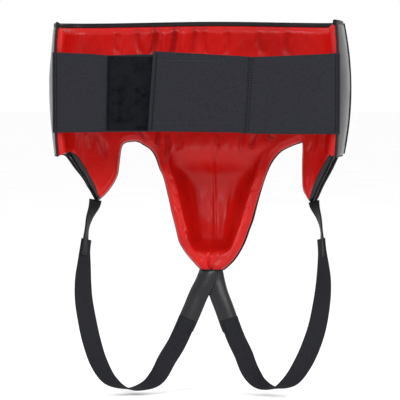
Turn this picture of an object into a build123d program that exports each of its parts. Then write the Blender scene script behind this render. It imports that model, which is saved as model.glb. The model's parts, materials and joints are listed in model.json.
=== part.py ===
from build123d import *
from math import asin, atan2, cos, degrees, radians, sin, sqrt
import os

# Groin protector, in millimetres. +Z is up, the wearer faces +Y and the wearer's right is +X.
# The origin is the middle of the waist ring at the height of the waist belt.

# ---- driving dimensions: padded body, seen from above ----
HALF_WIDTH = 191.0        # outer leather at its widest, to each side
FRONT_Y = 75.0            # outer leather at the middle of the belly
WIDEST_Y = -10.0          # where the body is widest
END_Y = -75.0             # back ends of the body
FRONT_SHIFT = 12.0        # belly and pouch hang this far towards +X
FRONT_RADIUS = 450.0      # plan radius across the belly
END_RADIUS = 169.0        # plan radius of the hip ends, which curl in
BARREL_RADIUS = 420.0     # how the wall bulges between its top and its bottom
BARREL_Z = 3.0            # height of the widest part of that bulge

# ---- driving dimensions: padded body, seen from the back ----
TOP_Z = 87.5
OPENING_Z = -66.0         # top of the leg openings
OPENING_HALF = 0.618 * HALF_WIDTH    # from the belly's middle to the far corner of a leg opening
KNEE_HALF = 0.628 * HALF_WIDTH
KNEE_Z = -108.0
TIP_HALF = 0.728 * HALF_WIDTH        # wing tips, from their own centre line
TIP_CENTRE = 4.0
TIP_WIDTH = 8.0
TIP_Z = -142.0
HIP_CORNER_X = 0.895 * HALF_WIDTH    # where the slanted wing edge meets the level hip edge
HIP_CORNER_Z = -80.0

# ---- layers, from the outside in ----
GAP = 0.2                 # between layers of one body
LEATHER = 1.3
FOAM = 11.0
LINING = 1.1
CUP_WALL = 3.0
BINDING = 2.0
BINDING_LIP = 0.3         # how far a binding stands proud of the wall's faces

# ---- pouch ----
POUCH_TOP_HALF = 74.0
RIM_RADIUS = 8.0
RIM_GAP = 0.4
RIM_TOP_Y = 55.0          # plane that the pouch wall stops at, at the top of the leg openings
RIM_SLOPE = 0.173         # how fast that plane moves back with depth
CUP_TOP_Z = -80.0         # the hard cup is shorter than the soft pouch around it
HOLLOW_FLOOR_Z = -206.0
POUCH_BOTTOM_Z = -226.0

# ---- belt ----
BELT_HEIGHT = 100.0
BELT_THICKNESS = 1.6
BELT_BACK_Y = -77.4       # inner face of the left belt elastic
HINGE_CLEARANCE = 2.0     # between the belt and the inner edge of the hip ends
LOOP_START_X = -112.0
FLAP_START_X = -57.0
FLAP_END_X = 66.0
FLAP_HEIGHT = 97.0
FLAP_THICKNESS = 1.9
PATCH_THICKNESS = 1.4
PATCH_MARGIN = 6.0
SEAM_GAP = 1.5            # between the flap and the right belt elastic
BODY_GAP = 0.35           # between pieces of different bodies

# ---- leg straps ----
LEG_WIDTH = 24.0
LEG_THICKNESS = 1.8
CROTCH_WIDTH = 25.0
CROTCH_THICKNESS = 2.4
HANGER_WIDTH = 22.0
HANGER_THICKNESS = 2.0

WALL = LEATHER + GAP + FOAM + GAP + LINING
FOAM_OUT = LEATHER + GAP
LINING_OUT = FOAM_OUT + FOAM + GAP
FAR = 400.0               # further than any face of the body

os.makedirs("parts", exist_ok=True)


def write(piece, name):
    """Label a finished sub-part and write it under its own name."""
    piece.part.label = name
    export_step(piece.part, f"parts/{name}.step")


# ------------------------------------------------------------------ wall of the padded body


def side_radius(half_width):
    """Plan radius that joins the belly arc to the widest point of a side."""
    depth = FRONT_Y - WIDEST_Y
    reach = 2 * FRONT_RADIUS * depth - depth**2 - half_width**2
    return reach / (2 * (FRONT_RADIUS - half_width))


def wall_arcs():
    """Plan arcs of the wall, from the left end to the right end.

    Each is its centre, its radius, and its first and last angle, in degrees."""
    end_turn = degrees(asin((WIDEST_Y - END_Y) / END_RADIUS))
    left_radius = side_radius(HALF_WIDTH + FRONT_SHIFT)
    right_radius = side_radius(HALF_WIDTH - FRONT_SHIFT)
    front = (FRONT_SHIFT, FRONT_Y - FRONT_RADIUS)
    left = (left_radius - HALF_WIDTH, WIDEST_Y)
    right = (HALF_WIDTH - right_radius, WIDEST_Y)
    left_turn = degrees(atan2(left[1] - front[1], left[0] - front[0]))
    right_turn = degrees(atan2(right[1] - front[1], right[0] - front[0]))
    return {
        "left_end": ((END_RADIUS - HALF_WIDTH, WIDEST_Y), END_RADIUS, 180, 180 + end_turn),
        "left_side": (left, left_radius, left_turn, 180),
        "front": (front, FRONT_RADIUS, right_turn, left_turn),
        "right_side": (right, right_radius, 0, right_turn),
        "right_end": ((HALF_WIDTH - END_RADIUS, WIDEST_Y), END_RADIUS, -end_turn, 0),
    }


ARCS = wall_arcs()


def barrel(offset, z):
    """How far the wall stands in from its widest radius, at a depth into it and a height."""
    return BARREL_RADIUS - sqrt((BARREL_RADIUS - offset) ** 2 - (z - BARREL_Z) ** 2)


def add_wall(arc, outer, inner, bottom, top):
    """Add one arc of the wall, between two depths and two heights, to the part being built."""
    centre, radius, first, last = arc
    along = Vector(cos(radians(first)), sin(radians(first)), 0)
    plane = Plane(origin=(*centre, 0), x_dir=along, z_dir=along.cross(Vector(0, 0, 1)))
    middle = (bottom + top) / 2
    with BuildSketch(plane) as band:
        with BuildLine():
            outside = ThreePointArc(
                (radius - barrel(outer, bottom), bottom),
                (radius - barrel(outer, middle), middle),
                (radius - barrel(outer, top), top),
            )
            inside = ThreePointArc(
                (radius - barrel(inner, bottom), bottom),
                (radius - barrel(inner, middle), middle),
                (radius - barrel(inner, top), top),
            )
            Line(outside @ 0, inside @ 0)
            Line(outside @ 1, inside @ 1)
        make_face()
    axis = Axis((*centre, 0), (0, 0, 1))
    revolve(band.sketch, axis=axis, revolution_arc=last - first)


def body_outline():
    """Corners of the body in the back view, open at the top and the sides."""
    right = [
        (FRONT_SHIFT + OPENING_HALF, OPENING_Z),
        (FRONT_SHIFT + KNEE_HALF, KNEE_Z),
        (TIP_CENTRE + TIP_HALF - TIP_WIDTH / 2, TIP_Z),
        (TIP_CENTRE + TIP_HALF + TIP_WIDTH / 2, TIP_Z),
        (HIP_CORNER_X, HIP_CORNER_Z),
        (FAR, HIP_CORNER_Z),
        (FAR, FAR),
    ]
    left = [
        (-FAR, FAR),
        (-FAR, HIP_CORNER_Z),
        (-HIP_CORNER_X, HIP_CORNER_Z),
        (TIP_CENTRE - TIP_HALF - TIP_WIDTH / 2, TIP_Z),
        (TIP_CENTRE - TIP_HALF + TIP_WIDTH / 2, TIP_Z),
        (FRONT_SHIFT - KNEE_HALF, KNEE_Z),
        (FRONT_SHIFT - OPENING_HALF, OPENING_Z),
    ]
    return right + left


PANELS = {
    "left_hip": (["left_end", "left_side", "front"], -FAR, FRONT_SHIFT - OPENING_HALF - GAP),
    "belly": (
        ["left_side", "front", "right_side"],
        FRONT_SHIFT - OPENING_HALF,
        FRONT_SHIFT + OPENING_HALF,
    ),
    "right_hip": (["front", "right_side", "right_end"], FRONT_SHIFT + OPENING_HALF + GAP, FAR),
}
PANEL_TOP = TOP_Z - BINDING - GAP
LAYERS = {
    "outer_panel": (0.0, LEATHER),
    "foam": (FOAM_OUT, FOAM_OUT + FOAM),
    "lining": (LINING_OUT, WALL),
}
BAND_BOTTOM = TIP_Z - BINDING


def band_bottom(arc_name):
    """Lowest height of an arc of the wall: only the side and belly arcs reach into the wings."""
    return HIP_CORNER_Z if arc_name.endswith("end") else BAND_BOTTOM


for panel, (arc_names, low_x, high_x) in PANELS.items():
    for layer, (outer, inner) in LAYERS.items():
        with BuildPart() as wall_panel:
            for arc_name in arc_names:
                add_wall(ARCS[arc_name], outer, inner, band_bottom(arc_name), PANEL_TOP)
            with BuildSketch(Plane.XZ):
                with BuildLine():
                    Polyline(*body_outline(), close=True)
                make_face()
                offset(amount=-(BINDING + GAP), kind=Kind.INTERSECTION, mode=Mode.REPLACE)
                with Locations(((low_x + high_x) / 2, 0)):
                    Rectangle(high_x - low_x, 2 * FAR, mode=Mode.INTERSECT)
            extrude(amount=FAR, both=True, mode=Mode.INTERSECT)
        write(wall_panel, f"{panel}_{layer}")

with BuildPart() as top_binding:
    for arc in ARCS.values():
        add_wall(arc, -BINDING_LIP, WALL + BINDING_LIP, TOP_Z - BINDING, TOP_Z)
write(top_binding, "top_binding")


def end_arc(arc, past):
    """Short arc just past an end of the wall, on the side that past points to."""
    centre, radius, first, last = arc
    gap_turn = degrees(GAP / radius)
    strip_turn = degrees(BINDING / radius)
    if past > 0:
        return centre, radius, last + gap_turn, last + gap_turn + strip_turn
    return centre, radius, first - gap_turn - strip_turn, first - gap_turn


for side, past in (("left", 1), ("right", -1)):
    with BuildPart() as end_binding:
        strip = end_arc(ARCS[f"{side}_end"], past)
        add_wall(strip, -BINDING_LIP, WALL + BINDING_LIP, HIP_CORNER_Z, TOP_Z)
    write(end_binding, f"{side}_end_binding")

POUCH_CORNER = POUCH_TOP_HALF + 2 * RIM_RADIUS + RIM_GAP
LEG_BINDINGS = {
    "left": (["left_end", "left_side", "front"], -FAR, FRONT_SHIFT - POUCH_CORNER),
    "right": (["front", "right_side", "right_end"], FRONT_SHIFT + POUCH_CORNER, FAR),
}
for side, (arc_names, low_x, high_x) in LEG_BINDINGS.items():
    with BuildPart() as leg_binding:
        for arc_name in arc_names:
            add_wall(ARCS[arc_name], -BINDING_LIP, WALL + BINDING_LIP, band_bottom(arc_name), 0)
        with BuildSketch(Plane.XZ):
            with BuildLine():
                Polyline(*body_outline(), close=True)
            edge_face = make_face()
            offset(edge_face, amount=-BINDING, kind=Kind.INTERSECTION, mode=Mode.SUBTRACT)
            with Locations(((low_x + high_x) / 2, 0)):
                Rectangle(high_x - low_x, 2 * FAR, mode=Mode.INTERSECT)
        extrude(amount=FAR, both=True, mode=Mode.INTERSECT)
    write(leg_binding, f"{side}_leg_binding")

# ------------------------------------------------------------------ pouch

# Level sections of the pouch: height, outer radius, foremost y, and half angle of its arc.
TOP_HALF_ANGLE = degrees(asin(POUCH_TOP_HALF / FRONT_RADIUS))
POUCH_SECTIONS = [
    (OPENING_Z, FRONT_RADIUS, FRONT_Y - barrel(0, OPENING_Z), TOP_HALF_ANGLE),
    (-93.0, 85.0, 84.0, 50.0),
    (-125.0, 61.0, 92.0, 80.0),
    (-160.0, 52.0, 88.0, 95.0),
    (-190.0, 43.0, 73.0, 95.0),
    (HOLLOW_FLOOR_Z, 35.0, 62.0, 95.0),
    (POUCH_BOTTOM_Z, 16.0, 47.0, 95.0),
]


def rim_plane(behind=0.0):
    """The tilted plane that the pouch wall stops at, or one that far behind it."""
    normal = Vector(0, -1, RIM_SLOPE).normalized()
    origin = Vector(FRONT_SHIFT, RIM_TOP_Y, OPENING_Z) + normal * behind
    return Plane(origin=origin, x_dir=(1, 0, 0), z_dir=normal)


def add_pouch(outer, inner, low_share=-1.0, high_share=1.0, sections=POUCH_SECTIONS):
    """Add the pouch wall between two depths, over a share of its arc to each side."""
    levels = []
    for height, radius, front, half_angle in sections:
        centre = (FRONT_SHIFT, front - radius)
        first = 90 - high_share * half_angle
        turn = (high_share - low_share) * half_angle
        with BuildSketch(Plane.XY.offset(height)) as level:
            with BuildLine():
                outside = CenterArc(centre, radius - outer, first, turn)
                inside = CenterArc(centre, radius - inner, first, turn)
                Line(outside @ 0, inside @ 0)
                Line(outside @ 1, inside @ 1)
            make_face()
        levels.append(level.sketch)
    loft(levels, ruled=True)


HOLLOW_SECTIONS = POUCH_SECTIONS[:-1]
CUP_OUT = LEATHER + GAP
POUCH_FOAM_OUT = CUP_OUT + CUP_WALL + GAP
POUCH_FOAM_IN = POUCH_FOAM_OUT + FOAM - CUP_WALL
POUCH_LINING_OUT = POUCH_FOAM_IN + GAP
POUCH_WALL = POUCH_LINING_OUT + LINING

with BuildPart() as pouch_outer_panel:
    add_pouch(0, LEATHER, sections=POUCH_SECTIONS)
    split(bisect_by=rim_plane(), keep=Keep.BOTTOM)
write(pouch_outer_panel, "pouch_outer_panel")

with BuildPart() as groin_cup:
    add_pouch(CUP_OUT, CUP_OUT + CUP_WALL, sections=HOLLOW_SECTIONS)
    split(bisect_by=rim_plane(-2 * CUP_WALL), keep=Keep.BOTTOM)
    split(bisect_by=Plane.XY.offset(CUP_TOP_Z), keep=Keep.BOTTOM)
write(groin_cup, "groin_cup")

with BuildPart() as pouch_foam:
    add_pouch(POUCH_FOAM_OUT, POUCH_FOAM_IN, sections=HOLLOW_SECTIONS)
    for height, radius, front, half_angle in POUCH_SECTIONS[-2:]:
        centre = (FRONT_SHIFT, front - radius)
        with BuildSketch(Plane.XY.offset(height)):
            with BuildLine():
                floor_arc = CenterArc(centre, radius - POUCH_FOAM_OUT, 90 - half_angle, 2 * half_angle)
                Line(floor_arc @ 0, floor_arc @ 1)
            make_face()
    loft(ruled=True)
    split(bisect_by=rim_plane(), keep=Keep.BOTTOM)
write(pouch_foam, "pouch_foam")

SEAM_SHARE = 0.004        # half of the centre seam, as a share of the arc
for side, low_share, high_share in (("left", -1.0, -SEAM_SHARE), ("right", SEAM_SHARE, 1.0)):
    with BuildPart() as pouch_lining:
        add_pouch(POUCH_LINING_OUT, POUCH_WALL, low_share, high_share, HOLLOW_SECTIONS)
        split(bisect_by=rim_plane(), keep=Keep.BOTTOM)
    write(pouch_lining, f"{side}_pouch_lining")

# Middle line of the padded rim, on a plane behind the pouch wall: corners from the belly down to
# the bottom of the pouch, and the radius at each corner.
RIM_CORNERS = [(80.0, 0.0), (57.0, -40.0), (37.0, -123.0), (20.0, -155.0), (GAP, -155.0)]
RIM_RADII = [120.0, 60.0, 18.0]

for side, sign in (("left", -1), ("right", 1)):
    plane = rim_plane(RIM_RADIUS + RIM_GAP)
    corners = [plane.from_local_coords((sign * x, y, 0)) for x, y in RIM_CORNERS]
    with BuildPart() as rim_roll:
        with BuildLine() as rim_line:
            FilletPolyline(*corners, radius=RIM_RADII)
        with BuildSketch(Plane(origin=rim_line.line @ 0, z_dir=rim_line.line % 0)):
            Circle(RIM_RADIUS)
        sweep()
        split(bisect_by=Plane.XY.offset(OPENING_Z), keep=Keep.BOTTOM)
    write(rim_roll, f"{side}_rim_roll")

# ------------------------------------------------------------------ waist belt


def hinge_reach():
    """Distance of a belt hinge from the centre: the inner edge of a hip end, less a clearance."""
    centre, radius, first, last = ARCS["right_end"]
    inner_radius = radius - barrel(WALL + BINDING_LIP, BARREL_Z - BELT_HEIGHT / 2)
    return centre[0] + inner_radius * cos(radians(first)) - HINGE_CLEARANCE


HINGE_X = hinge_reach()
PATCH_END_X = FLAP_END_X - 2 * PATCH_MARGIN
LEFT_BELT_Y = BELT_BACK_Y - BELT_THICKNESS / 2
LOOP_Y = BELT_BACK_Y - BELT_THICKNESS - GAP / 2 - PATCH_THICKNESS / 2
HOOK_Y = LOOP_Y - PATCH_THICKNESS - BODY_GAP
FLAP_Y = HOOK_Y - PATCH_THICKNESS / 2 - GAP / 2 - FLAP_THICKNESS / 2
RIGHT_BELT_Y = FLAP_Y


def belt_strip(name, start_x, end_x, y, thickness, height):
    """Write a flat upright strip of the belt."""
    with BuildPart() as strip:
        with BuildSketch(Plane.XY.offset(-height / 2)):
            with Locations(((start_x + end_x) / 2, y)):
                Rectangle(end_x - start_x, thickness)
        extrude(amount=height)
    write(strip, name)


belt_strip("left_belt_elastic", -HINGE_X, PATCH_END_X, LEFT_BELT_Y, BELT_THICKNESS, BELT_HEIGHT)
belt_strip(
    "loop_patch", LOOP_START_X, PATCH_END_X, LOOP_Y, PATCH_THICKNESS, BELT_HEIGHT - PATCH_MARGIN
)
belt_strip(
    "hook_patch",
    FLAP_START_X + PATCH_MARGIN,
    PATCH_END_X - PATCH_MARGIN,
    HOOK_Y,
    PATCH_THICKNESS,
    FLAP_HEIGHT - 2 * PATCH_MARGIN,
)
belt_strip("closure_flap", FLAP_START_X, FLAP_END_X, FLAP_Y, FLAP_THICKNESS, FLAP_HEIGHT)
belt_strip(
    "right_belt_elastic", FLAP_END_X + SEAM_GAP, HINGE_X, RIGHT_BELT_Y, BELT_THICKNESS, BELT_HEIGHT
)

# ------------------------------------------------------------------ leg straps


def write_ribbon(name, stations, width, thickness):
    """Write a flat strap that turns as it goes.

    A station is a middle point and the direction of the strap's width there."""
    middles = [Vector(middle) for middle, across in stations]
    with BuildPart() as ribbon:
        for index, (middle, across) in enumerate(stations):
            before = middles[max(index - 1, 0)]
            after = middles[min(index + 1, len(middles) - 1)]
            along = (after - before).normalized()
            across = Vector(across)
            across = (across - along * across.dot(along)).normalized()
            with BuildSketch(Plane(origin=middle, x_dir=across, z_dir=along)):
                Rectangle(width, thickness)
        loft(ruled=True)
    write(ribbon, name)


def from_anchor(anchor, stations):
    """Move stations that are given from an anchor to their place."""
    return [(Vector(anchor) + Vector(offset), across) for offset, across in stations]


def between(start, end, stations):
    """Place stations that are given from the straight line between the two ends of a strap."""
    last = len(stations) - 1
    line = [Vector(start) + (Vector(end) - Vector(start)) * (step / last) for step in range(last + 1)]
    return [(middle + Vector(offset), across) for middle, (offset, across) in zip(line, stations)]


POUCH_FOOT = (FRONT_SHIFT, 32.0, POUCH_BOTTOM_Z - GAP - CROTCH_THICKNESS)
LEFT_TIP = (TIP_CENTRE - TIP_HALF, 17.0, TIP_Z)
RIGHT_TIP = (TIP_CENTRE + TIP_HALF, 17.0, TIP_Z)

CROTCH_STATIONS = {
    "left": [
        ((-3.0, -1.0, -2.0), (1, 0, 0)),
        ((-15.0, -3.0, -33.0), (0.92, 0, -0.38)),
        ((-31.0, -6.0, -69.0), (0.90, 0, -0.43)),
    ],
    "right": [
        ((3.0, 2.0, -2.0), (1, 0, 0)),
        ((9.0, 0.0, -33.0), (0.93, 0, 0.36)),
        ((24.0, -3.0, -71.0), (0.92, 0, 0.38)),
    ],
}
HANGER_STATIONS = {
    "left": [
        ((-3.0, 0.0, -3.0), (0.60, 0.80, 0)),
        ((-9.5, -2.0, -20.0), (0.30, 0.95, 0)),
        ((-13.5, -4.0, -38.0), (0.05, 1.0, 0)),
        ((-15.0, -5.0, -54.0), (0.20, 0.98, 0)),
    ],
    "right": [
        ((2.5, 0.0, -3.0), (-0.60, 0.80, 0)),
        ((9.0, -2.0, -20.0), (-0.30, 0.95, 0)),
        ((12.0, -4.0, -38.0), (-0.05, 1.0, 0)),
        ((13.0, -5.0, -54.0), (-0.20, 0.98, 0)),
    ],
}
crotch = {side: from_anchor(POUCH_FOOT, stations) for side, stations in CROTCH_STATIONS.items()}
hanger = {
    "left": from_anchor(LEFT_TIP, HANGER_STATIONS["left"]),
    "right": from_anchor(RIGHT_TIP, HANGER_STATIONS["right"]),
}
for side in ("left", "right"):
    write_ribbon(f"{side}_crotch_strap", crotch[side], CROTCH_WIDTH, CROTCH_THICKNESS)
    write_ribbon(f"{side}_hanger_strap", hanger[side], HANGER_WIDTH, HANGER_THICKNESS)

# Each leg elastic hangs as a loop from the end of its hanger to the end of its crotch strap.
LEG_STATIONS = {
    "left": [
        ((0.0, 0.0, 0.0), (0.35, 0.94, 0)),
        ((-10.0, -4.0, -13.0), (0.62, 0.78, 0)),
        ((-20.5, -10.0, -26.0), (0.82, 0.57, 0)),
        ((-29.0, -17.0, -42.0), (0.92, 0.39, 0)),
        ((-33.5, -24.0, -64.0), (0.97, 0.20, 0.10)),
        ((-37.5, -28.0, -80.5), (0.96, 0, 0.26)),
        ((-39.0, -29.0, -98.0), (0.90, -0.20, 0.35)),
        ((-35.5, -26.0, -111.0), (0.70, -0.55, 0.40)),
        ((-24.5, -19.0, -114.5), (0.35, -0.93, 0.10)),
        ((-13.5, -12.0, -104.0), (0.45, -0.85, -0.25)),
        ((-7.5, -7.0, -85.0), (0.75, -0.40, -0.50)),
        ((-3.5, -3.0, -59.5), (0.85, -0.10, -0.52)),
        ((-2.5, -1.0, -32.5), (0.88, 0, -0.47)),
        ((0.0, 0.0, 0.0), (0.90, 0, -0.43)),
    ],
    "right": [
        ((0.0, 0.0, 0.0), (-0.35, 0.94, 0)),
        ((10.0, -4.0, -13.0), (-0.62, 0.78, 0)),
        ((19.0, -10.0, -25.5), (-0.82, 0.57, 0)),
        ((26.0, -18.0, -41.5), (-0.92, 0.39, 0)),
        ((30.5, -25.0, -63.5), (-0.97, 0.20, 0.10)),
        ((31.5, -29.0, -81.0), (-0.96, 0, 0.26)),
        ((30.0, -30.0, -96.0), (-0.90, -0.20, 0.38)),
        ((24.0, -28.0, -108.0), (-0.70, -0.55, 0.42)),
        ((13.0, -21.0, -111.0), (-0.35, -0.93, 0.10)),
        ((3.5, -13.0, -98.5), (-0.50, -0.80, -0.35)),
        ((-1.0, -7.5, -75.5), (-0.78, -0.35, -0.52)),
        ((-2.5, -4.0, -50.0), (-0.88, -0.10, -0.46)),
        ((-1.5, -2.0, -25.0), (-0.91, 0, -0.41)),
        ((0.0, 0.0, 0.0), (-0.92, 0, -0.38)),
    ],
}
HANGER_JOIN = Vector(0, -1.0, -7.0)    # from the end of a hanger to the start of its elastic
CROTCH_JOIN = {"left": Vector(-2.0, -1.5, -5.0), "right": Vector(2.0, -1.5, -5.0)}

for side, stations in LEG_STATIONS.items():
    start = hanger[side][-1][0] + HANGER_JOIN
    end = crotch[side][-1][0] + CROTCH_JOIN[side]
    write_ribbon(f"{side}_leg_elastic", between(start, end, stations), LEG_WIDTH, LEG_THICKNESS)
    print(side, "leg hinge from", start, "to", end)
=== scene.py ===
import json
import math

import bmesh
import bpy
import numpy as np
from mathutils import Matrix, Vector


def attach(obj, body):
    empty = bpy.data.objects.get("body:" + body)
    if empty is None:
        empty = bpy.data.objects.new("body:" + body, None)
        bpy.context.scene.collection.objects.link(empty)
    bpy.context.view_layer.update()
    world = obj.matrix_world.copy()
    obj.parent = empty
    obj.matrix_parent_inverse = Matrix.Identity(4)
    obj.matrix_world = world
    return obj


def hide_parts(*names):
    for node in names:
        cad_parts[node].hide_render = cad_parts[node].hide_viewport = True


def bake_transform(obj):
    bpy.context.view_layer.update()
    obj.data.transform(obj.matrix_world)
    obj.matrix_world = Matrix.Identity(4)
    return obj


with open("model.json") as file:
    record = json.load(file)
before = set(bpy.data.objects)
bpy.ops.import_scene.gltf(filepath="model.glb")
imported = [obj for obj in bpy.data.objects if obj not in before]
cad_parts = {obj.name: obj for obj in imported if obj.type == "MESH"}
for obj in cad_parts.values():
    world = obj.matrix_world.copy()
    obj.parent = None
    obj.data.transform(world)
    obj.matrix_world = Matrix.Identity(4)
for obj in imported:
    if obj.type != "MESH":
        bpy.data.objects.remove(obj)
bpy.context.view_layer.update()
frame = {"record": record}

# Groin protector. Sizes here are in millimetres and become metres in new_mesh().
MM = 0.001
JOINTS = {joint["name"]: joint for joint in frame["record"]["behaviour"]["joints"]}

# ---- small numeric tools


def smooth(t):
    """Soft step from 0 to 1."""
    t = np.clip(t, 0.0, 1.0)
    return t * t * (3 - 2 * t)


def curve(points):
    """Smooth function through (position, value) points, without overshoot."""
    at, value = np.array(points, float).T
    if at[0] > at[-1]:
        at, value = at[::-1], value[::-1]
    slope = np.diff(value) / np.diff(at)
    tangent = np.zeros(len(at))
    same = slope[:-1] * slope[1:] > 0
    both = slope[:-1] + slope[1:]
    tangent[1:-1][same] = 2 * slope[:-1][same] * slope[1:][same] / both[same]
    tangent[0], tangent[-1] = slope[0], slope[-1]

    def value_at(position):
        position = np.clip(np.asarray(position, float), at[0], at[-1])
        span = np.clip(np.searchsorted(at, position, side="right") - 1, 0, len(at) - 2)
        width = at[span + 1] - at[span]
        t = (position - at[span]) / width
        return (
            value[span] * (1 + 2 * t) * (1 - t) ** 2
            + tangent[span] * width * t * (1 - t) ** 2
            + value[span + 1] * t * t * (3 - 2 * t)
            + tangent[span + 1] * width * t * t * (t - 1)
        )

    return value_at


def route(points, count):
    """Evenly spaced points on a smooth line through the given ones."""
    points = np.array(points, float)
    before = np.vstack([2 * points[0] - points[1], points, 2 * points[-1] - points[-2]])
    t = np.linspace(0, 1, 24, endpoint=False)[:, None]
    dense = []
    for a, b, c, d in zip(before, before[1:], before[2:], before[3:]):
        dense.append(
            0.5 * (2 * b + (c - a) * t + (2 * a - 5 * b + 4 * c - d) * t**2
                   + (3 * b - a - 3 * c + d) * t**3)
        )
    dense = np.vstack(dense + [points[-1:]])
    length = np.concatenate([[0], np.cumsum(np.linalg.norm(np.diff(dense, axis=0), axis=1))])
    even = np.linspace(0, length[-1], count)
    return join(*(np.interp(even, length, values) for values in dense.T))


def unit(v):
    return v / np.maximum(np.linalg.norm(v, axis=-1, keepdims=True), 1e-9)


def square_to(direction, along):
    """The part of a direction that is square to another one, with length 1."""
    return unit(direction - along * np.sum(direction * along, axis=-1, keepdims=True))


def join(*parts):
    """Points from their separate coordinates, any of which may be one number for all."""
    return np.stack(np.broadcast_arrays(*parts), axis=-1)


def bell(t):
    """1 at t = 0, falling off to 0 on both sides."""
    return np.exp(-(t**2))


def rounded(t):
    """A quarter circle: steep at t = 0 and level at 1 from t = 1."""
    return np.sqrt(np.clip(1 - (1 - np.clip(t, 0, 1)) ** 2, 0, 1))


def ripple(x, z, scale, seed):
    """Soft uneven waves with no pattern, about -1 to 1, from a few sines."""
    rng = np.random.default_rng(seed)
    total = np.zeros(np.broadcast(x, z).shape)
    waves = 7
    for _ in range(waves):
        turn, phase = rng.uniform(0, 2 * np.pi), rng.uniform(0, 2 * np.pi)
        size = rng.uniform(0.6, 1.6)
        total += np.sin((x * np.cos(turn) + z * np.sin(turn)) * 2 * np.pi / (scale * size) + phase)
    return total / (waves / 2)


# ---- materials


class Nodes:
    """Short way to build one procedural material."""

    def __init__(self, name, colour, roughness, **sockets):
        self.material = bpy.data.materials.new(name)
        self.material.use_nodes = True
        self.tree = self.material.node_tree
        self.shader = self.tree.nodes["Principled BSDF"]
        self.shader.inputs["Base Color"].default_value = (*colour, 1)
        self.shader.inputs["Roughness"].default_value = roughness
        for socket, value in sockets.items():
            self.shader.inputs[socket.replace("_", " ")].default_value = value
        self.place = self.add("ShaderNodeTexCoord").outputs["Object"]
        self.height = None

    def add(self, kind, **values):
        node = self.tree.nodes.new(kind)
        for name, value in values.items():
            if hasattr(node, name):
                setattr(node, name, value)
            else:
                node.inputs[name.replace("_", " ")].default_value = value
        return node

    def link(self, output, node, socket):
        self.tree.links.new(output, node.inputs[socket])

    def texture(self, kind, output, **values):
        node = self.add(kind, **values)
        self.link(self.place, node, "Vector")
        return node.outputs[output]

    def noise(self, scale, detail=3.0, roughness=0.5):
        return self.texture("ShaderNodeTexNoise", "Fac", Scale=scale, Detail=detail,
                            Roughness=roughness)

    def cells(self, scale):
        return self.texture("ShaderNodeTexVoronoi", "Distance", feature="SMOOTH_F1", Scale=scale)

    def waves(self, scale, direction, distortion=0.0):
        return self.texture("ShaderNodeTexWave", "Fac", bands_direction=direction, Scale=scale,
                            Distortion=distortion)

    def colour(self, factor, stops):
        """Base colour from a factor, by (position, colour) stops."""
        ramp = self.add("ShaderNodeValToRGB")
        self.link(factor, ramp, "Fac")
        elements = ramp.color_ramp.elements
        for element, (position, colour) in zip(elements, (stops[0], stops[-1])):
            element.position, element.color = position, (*colour, 1)
        for position, colour in stops[1:-1]:
            elements.new(position).color = (*colour, 1)
        self.link(ramp.outputs["Color"], self.shader, "Base Color")

    def rough(self, factor, low, high):
        span = self.add("ShaderNodeMapRange", To_Min=low, To_Max=high)
        self.link(factor, span, "Value")
        self.link(span.outputs["Result"], self.shader, "Roughness")

    def bump(self, factor, strength, distance):
        node = self.add("ShaderNodeBump", Strength=strength, Distance=distance)
        self.link(factor, node, "Height")
        if self.height:
            self.link(self.height, node, "Normal")
        self.height = node.outputs["Normal"]
        self.link(self.height, self.shader, "Normal")

    def mixed(self, first, second, kind="MULTIPLY"):
        node = self.add("ShaderNodeMath", operation=kind)
        self.link(first, node, 0)
        self.link(second, node, 1)
        return node.outputs["Value"]


def leather(name, dark, mid, light, roughness, gloss, grain=1.0, painted_fold_shade=False):
    """Synthetic leather: fine pebbled grain and slow changes of tone; it can also carry painted
    shade that darkens it in its folds.
    """
    made = Nodes(name, mid, roughness, Specular_IOR_Level=gloss)
    tone = made.noise(14.0, 4.0, 0.6)
    # Painted shade: the mesh's fold attribute is taken off the tone, so the colour darkens in the
    # folds.
    if painted_fold_shade:
        folds = made.add("ShaderNodeAttribute", attribute_name="fold")
        tone = made.mixed(tone, folds.outputs["Fac"], "SUBTRACT")
    # A darker colour stop for the painted shade in the deepest folds.
    deepest = [(0.02, tuple(0.42 * c for c in dark))] if painted_fold_shade else []
    made.colour(tone, deepest + [(0.25, dark), (0.5, mid), (0.78, light)])
    made.rough(made.noise(60.0, 3.0), roughness - 0.06, roughness + 0.08)
    made.bump(made.cells(1150.0), 0.16 * grain, 0.00012)
    made.bump(made.noise(2600.0, 2.0), 0.10 * grain, 0.00006)
    made.bump(made.noise(95.0, 3.0, 0.6), 0.10 * grain, 0.0006)
    return made.material


def woven(name, dark, light, ribs, picks):
    """Elastic or webbing: ribs along its length crossed by finer picks."""
    made = Nodes(name, light, 0.82, Specular_IOR_Level=0.10)
    rib = made.waves(ribs, "X", 0.4)
    pick = made.waves(picks, "Z", 0.6)
    weave = made.mixed(rib, pick)
    tone = made.mixed(weave, made.noise(330.0, 5.0, 0.7), "ADD")
    made.colour(tone, [(0.25, dark), (0.75, light), (1.25, light)])
    made.bump(weave, 0.45, 0.00025)
    made.bump(made.noise(1500.0, 2.0), 0.3, 0.00012)
    return made.material


def pile(name, dark, light):
    """Brushed loop fabric: matted fuzz with a few catching fibres."""
    made = Nodes(name, light, 0.95, Specular_IOR_Level=0.04)
    fuzz = made.noise(900.0, 6.0, 0.75)
    made.colour(made.mixed(fuzz, made.noise(70.0, 4.0, 0.7), "ADD"), [(0.75, dark), (1.3, light)])
    made.bump(fuzz, 0.9, 0.0006)
    made.bump(made.noise(160.0, 4.0), 0.5, 0.0009)
    return made.material


def thread(name, colour):
    """Sewing thread: twisted strands."""
    made = Nodes(name, colour, 0.7, Specular_IOR_Level=0.05)
    made.colour(made.noise(900.0, 3.0), [(0.3, tuple(0.6 * c for c in colour)), (0.7, colour)])
    made.bump(made.waves(900.0, "DIAGONAL"), 0.4, 0.0001)
    return made.material


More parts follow.
